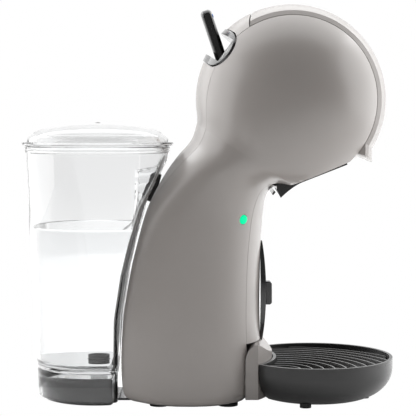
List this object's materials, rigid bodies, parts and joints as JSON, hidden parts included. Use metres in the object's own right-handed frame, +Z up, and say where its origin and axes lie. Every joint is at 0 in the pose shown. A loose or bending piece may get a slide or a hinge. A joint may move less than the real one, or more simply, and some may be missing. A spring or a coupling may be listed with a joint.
{
  "type": "pod coffee machine",
  "caption": "Compact pod coffee machine with a round head, lift-up locking handle, sliding pod drawer, selector lever, rear water tank and round drip tray.",
  "frame": {"origin": "centre of the bounding box's bottom, on the table", "axes": "+Z up, +X out of the machine's front, where the drip tray is, +Y to the machine's left"},
  "size_m": [0.2645, 0.1302, 0.2812],
  "materials": {
    "casing_plastic": "glossy warm taupe",
    "black_gloss_plastic": "glossy black",
    "charcoal_plastic": "satin charcoal",
    "inner_plastic": "matte dark grey",
    "clear_plastic": "clear, polished",
    "steel": "brushed",
    "cast_aluminium": "as cast",
    "copper_winding": "copper-coloured winding",
    "brass": "satin",
    "rubber": "matte",
    "silicone": "translucent white",
    "circuit_board": "green lacquer",
    "blue_mark": "printed blue",
    "red_mark": "printed red",
    "green_light": "lit green lens"
  },
  "bodies": {
    "body": {"side_shell_left": "casing_plastic", "side_shell_right": "casing_plastic", "front_panel": "casing_plastic", "rear_cover": "casing_plastic", "top_cover": "casing_plastic", "tray_cradle": "casing_plastic", "lever_housing": "black_gloss_plastic", "underside_cover_left": "black_gloss_plastic", "underside_cover_right": "black_gloss_plastic", "front_rail": "black_gloss_plastic", "rail_hook": "black_gloss_plastic", "tank_base": "charcoal_plastic", "base_plate": "charcoal_plastic", "button_switch": "charcoal_plastic", "board_relay": "charcoal_plastic", "board_transformer": "charcoal_plastic", "pump_body": "charcoal_plastic", "internal_frame": "inner_plastic", "handle_hinge_pin": "steel", "lever_pin": "steel", "injector_guide_left": "steel", "injector_guide_right": "steel", "heater_thermostat": "steel", "heater_block": "cast_aluminium", "pump_coil": "copper_winding", "selector_valve": "brass", "base_foot_1": "rubber", "base_foot_2": "rubber", "base_foot_3": "rubber", "base_foot_4": "rubber", "pump_mount_lower": "rubber", "pump_mount_upper": "rubber", "cold_hose": "silicone", "hot_hose": "silicone", "injector_hose": "silicone", "control_board": "circuit_board"},
    "handle": {"locking_handle": "casing_plastic"},
    "injector": {"injector_plate": "inner_plastic", "injector_seal": "silicone", "injection_needle": "steel"},
    "drawer": {"pod_holder": "charcoal_plastic"},
    "lever": {"selector_lever": "black_gloss_plastic", "cold_mark": "blue_mark", "hot_mark": "red_mark"},
    "button": {"power_button": "green_light"},
    "tank": {"water_tank": "clear_plastic", "tank_valve": "charcoal_plastic", "tank_filter": "steel"},
    "lid": {"tank_lid": "clear_plastic"},
    "tray": {"drip_tray": "black_gloss_plastic"},
    "grid": {"drip_grid": "black_gloss_plastic"}
  },
  "joints": [
    {"name": "handle_open", "type": "hinge", "parent": "body", "child": "handle", "pos_m": [0.04646, 0, 0.26613], "axis": [0, -1, 0], "range_deg": [0, 65]},
    {"name": "injector_lift", "type": "slide", "parent": "body", "child": "injector", "axis": [0.2504, 0, 0.9681], "range_m": [0, 0.00602]},
    {"name": "pod_holder_slide", "type": "slide", "parent": "body", "child": "drawer", "axis": [0.9681, 0, -0.2504], "range_m": [0, 0.075]},
    {"name": "lever_swing", "type": "hinge", "parent": "body", "child": "lever", "pos_m": [0.00981, 0, 0.24166], "axis": [0.9478, 0, 0.319], "range_deg": [-38, 38]},
    {"name": "power_button_press", "type": "slide", "parent": "body", "child": "button", "axis": [-0.6005, 0.7906, 0.1201], "range_m": [0, 0.0012], "stiffness_N_per_m": 300},
    {"name": "tank_lift", "type": "slide", "parent": "body", "child": "tank", "axis": [0, 0, 1], "range_m": [0, 0.06]},
    {"name": "lid_lift", "type": "slide", "parent": "tank", "child": "lid", "axis": [0, 0, 1], "range_m": [0, 0.03]},
    {"name": "tray_height", "type": "slide", "parent": "body", "child": "tray", "axis": [0, 0, 1], "range_m": [0, 0.065]},
    {"name": "grid_lift", "type": "slide", "parent": "tray", "child": "grid", "axis": [0, 0, 1], "range_m": [0, 0.02]}
  ],
  "couplings": [
    {"joint": "injector_lift", "follows": "handle_open", "m_per_rad": 0.0053}
  ]
}
